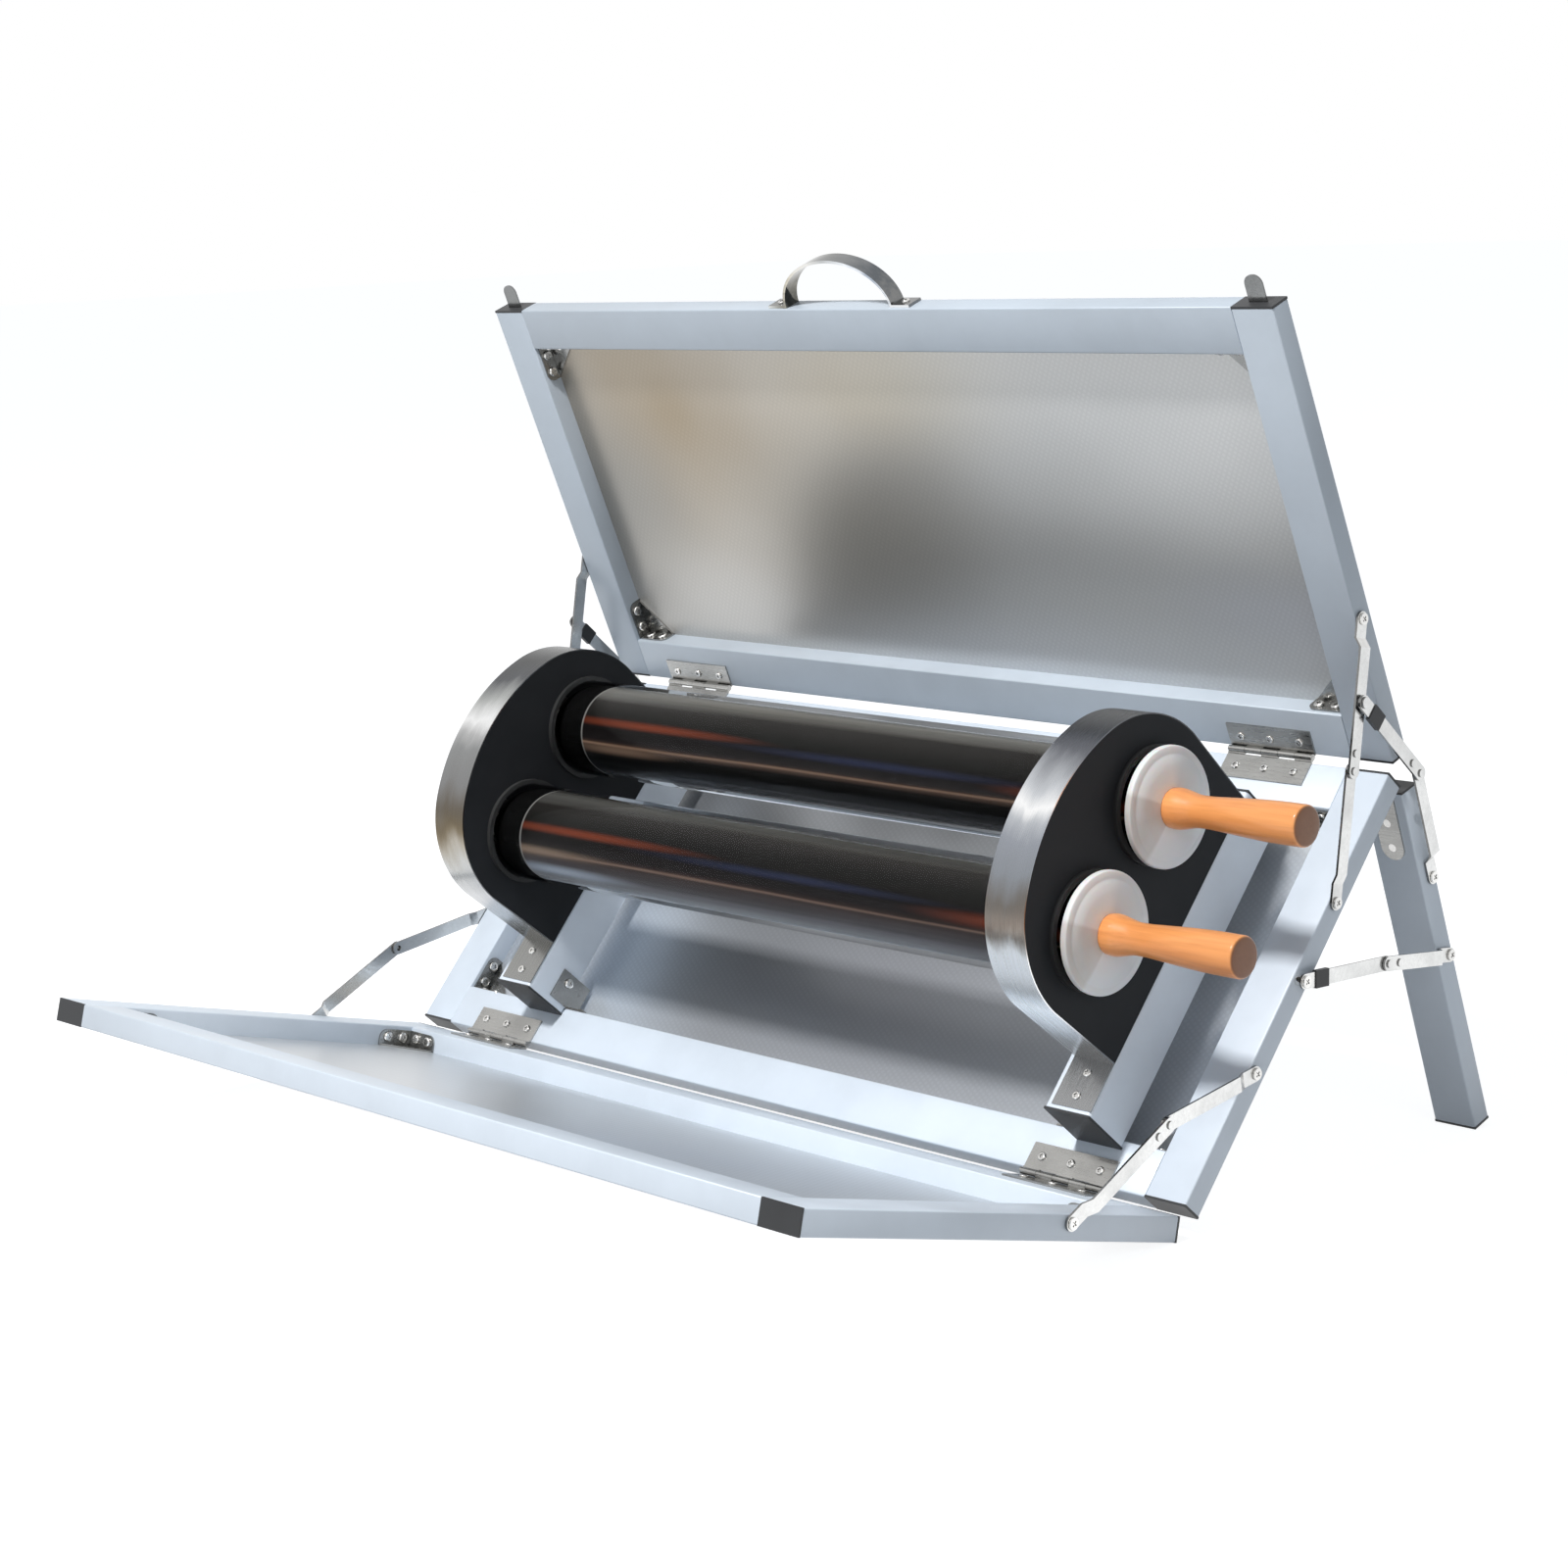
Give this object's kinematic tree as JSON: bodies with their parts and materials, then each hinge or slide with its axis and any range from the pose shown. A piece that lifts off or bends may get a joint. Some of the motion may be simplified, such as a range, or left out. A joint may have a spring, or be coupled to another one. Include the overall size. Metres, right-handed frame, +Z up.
{
  "type": "tube solar oven",
  "caption": "Folding solar oven: hinged reflector panels round a pair of vacuum tubes in end housings, slide-out trays with wooden handles, folding stays and rear legs.",
  "frame": {"origin": "on the floor, under the middle of the bounding box of the open oven", "axes": "+Z up, +X along the cooking tubes towards the wooden handles, -Y towards the open side that faces the sun"},
  "size_m": [1.022, 0.7862, 0.7384],
  "materials": {
    "rail_aluminium": "satin, pale blue-white",
    "mirror_sheet": "bright, faint woven texture",
    "clear_glass": "clear borosilicate",
    "coated_glass": "dark selective coating",
    "black_plastic": "matt",
    "charcoal_plate": "matt charcoal",
    "dark_rubber": "matt",
    "white_silicone": "soft satin, milky white",
    "varnished_wood": "glossy varnish",
    "grey_metal": "satin grey",
    "stainless": "brushed",
    "plated_steel": "plated"
  },
  "bodies": {
    "main_frame": {"main_side_rails": "rail_aluminium", "main_cross_rails": "rail_aluminium", "main_reflector": "mirror_sheet", "main_corner_brackets": "plated_steel", "main_end_caps": "black_plastic", "support_tubes": "grey_metal", "support_brackets": "plated_steel", "housing_bands": "stainless", "housing_plates": "charcoal_plate", "tube_seals": "dark_rubber", "outer_glass_tubes": "clear_glass", "inner_absorber_tubes": "coated_glass", "getter_rings": "stainless", "tube_end_rests": "dark_rubber", "main_hinge_leaves": "plated_steel", "leg_hinge_main_leaves": "plated_steel", "hinge_pins": "plated_steel", "main_fasteners": "plated_steel"},
    "top_panel": {"top_side_rails": "rail_aluminium", "top_cross_rails": "rail_aluminium", "top_reflector": "mirror_sheet", "top_corner_brackets": "plated_steel", "top_end_caps": "black_plastic", "top_hinge_leaves": "plated_steel", "top_fasteners": "plated_steel", "carry_handle": "stainless"},
    "bottom_panel": {"bottom_side_rails": "rail_aluminium", "bottom_cross_rails": "rail_aluminium", "bottom_reflector": "mirror_sheet", "bottom_corner_brackets": "plated_steel", "bottom_end_caps": "black_plastic", "bottom_hinge_leaves": "plated_steel", "bottom_fasteners": "plated_steel"},
    "leg_pair": {"rear_legs": "rail_aluminium", "leg_caps": "black_plastic", "leg_hinge_leaves": "plated_steel", "leg_fasteners": "plated_steel"},
    "top_stay_lower": {"top_stay_lower_arms": "stainless"},
    "top_stay_upper": {"top_stay_upper_arms": "stainless"},
    "tie_stay_upper": {"tie_stay_upper_arms": "stainless", "tie_stay_sleeves": "black_plastic"},
    "tie_stay_lower": {"tie_stay_lower_arms": "stainless"},
    "leg_stay_main": {"leg_stay_main_arms": "stainless", "leg_stay_sleeves": "black_plastic"},
    "leg_stay_leg": {"leg_stay_leg_arms": "stainless"},
    "bottom_stay_main": {"bottom_stay_main_arms": "stainless"},
    "bottom_stay_panel": {"bottom_stay_panel_arms": "stainless"},
    "upper_tray": {"upper_tray": "stainless", "upper_rod": "plated_steel", "upper_stopper": "white_silicone", "upper_handle": "varnished_wood"},
    "lower_tray": {"lower_tray": "stainless", "lower_rod": "plated_steel", "lower_stopper": "white_silicone", "lower_handle": "varnished_wood"},
    "right_latch": {"right_latch_tongue": "stainless", "right_latch_slide": "black_plastic"},
    "left_latch": {"left_latch_tongue": "stainless", "left_latch_slide": "black_plastic"}
  },
  "joints": [
    {"name": "top_fold", "type": "hinge", "parent": "main_frame", "child": "top_panel", "pos_m": [-0.02735, 0.2667, 0.32011], "axis": [1, 0, 0], "range_deg": [0, 56]},
    {"name": "bottom_fold", "type": "hinge", "parent": "main_frame", "child": "bottom_panel", "pos_m": [-0.02735, -0.00199, 0.02379], "axis": [-1, 0, 0], "range_deg": [0, 56.5]},
    {"name": "leg_fold", "type": "hinge", "parent": "main_frame", "child": "leg_pair", "pos_m": [-0.02735, 0.27843, 0.29597], "axis": [1, 0, 0], "range_deg": [-59.6, 0]},
    {"name": "top_stay_main_pivot", "type": "hinge", "parent": "main_frame", "child": "top_stay_lower", "pos_m": [-0.02735, 0.19119, 0.22389], "axis": [1, 0, 0], "range_deg": [-25.78, 0]},
    {"name": "top_stay_panel_pivot", "type": "hinge", "parent": "top_panel", "child": "top_stay_upper", "pos_m": [-0.02735, 0.23199, 0.44262], "axis": [1, 0, 0], "range_deg": [0, 18.34]},
    {"name": "tie_stay_arm_pivot", "type": "hinge", "parent": "top_stay_upper", "child": "tie_stay_upper", "pos_m": [-0.02735, 0.22007, 0.37873], "axis": [1, 0, 0], "range_deg": [-52.12, 0]},
    {"name": "tie_stay_leg_pivot", "type": "hinge", "parent": "leg_pair", "child": "tie_stay_lower", "pos_m": [-0.02735, 0.31869, 0.22266], "axis": [1, 0, 0], "range_deg": [0, 3.26]},
    {"name": "leg_stay_main_pivot", "type": "hinge", "parent": "main_frame", "child": "leg_stay_main", "pos_m": [-0.02735, 0.1435, 0.17129], "axis": [1, 0, 0], "range_deg": [0, 67.68]},
    {"name": "leg_stay_leg_pivot", "type": "hinge", "parent": "leg_pair", "child": "leg_stay_leg", "pos_m": [-0.02735, 0.34008, 0.15443], "axis": [1, 0, 0], "range_deg": [-23.62, 0]},
    {"name": "bottom_stay_main_pivot", "type": "hinge", "parent": "main_frame", "child": "bottom_stay_main", "pos_m": [-0.02735, 0.08741, 0.10943], "axis": [-1, 0, 0], "range_deg": [0, 71.9]},
    {"name": "bottom_stay_panel_pivot", "type": "hinge", "parent": "bottom_panel", "child": "bottom_stay_panel", "pos_m": [-0.02735, -0.12512, 0.04465], "axis": [-1, 0, 0], "range_deg": [-67.89, 0]},
    {"name": "upper_tray_slide", "type": "slide", "parent": "main_frame", "child": "upper_tray", "axis": [1, 0, 0], "range_m": [0, 0.6]},
    {"name": "lower_tray_slide", "type": "slide", "parent": "main_frame", "child": "lower_tray", "axis": [1, 0, 0], "range_m": [0, 0.6]},
    {"name": "right_latch_slide_joint", "type": "slide", "parent": "top_panel", "child": "right_latch", "axis": [0, 0.3551, -0.9348], "range_m": [0, 0.014]},
    {"name": "left_latch_slide_joint", "type": "slide", "parent": "top_panel", "child": "left_latch", "axis": [0, 0.3551, -0.9348], "range_m": [0, 0.014]}
  ],
  "couplings": [
    {"joint": "leg_fold", "follows": "top_fold", "ratio": -1.0643},
    {"joint": "top_stay_main_pivot", "follows": "top_fold", "ratio": -0.4603},
    {"joint": "top_stay_panel_pivot", "follows": "top_fold", "ratio": 0.3274},
    {"joint": "tie_stay_arm_pivot", "follows": "top_fold", "ratio": -0.9307},
    {"joint": "tie_stay_leg_pivot", "follows": "top_fold", "ratio": 0.0582},
    {"joint": "leg_stay_main_pivot", "follows": "top_fold", "ratio": 1.2086},
    {"joint": "leg_stay_leg_pivot", "follows": "top_fold", "ratio": -0.4217},
    {"joint": "bottom_stay_main_pivot", "follows": "bottom_fold", "ratio": 1.2726},
    {"joint": "bottom_stay_panel_pivot", "follows": "bottom_fold", "ratio": -1.2016}
  ]
}
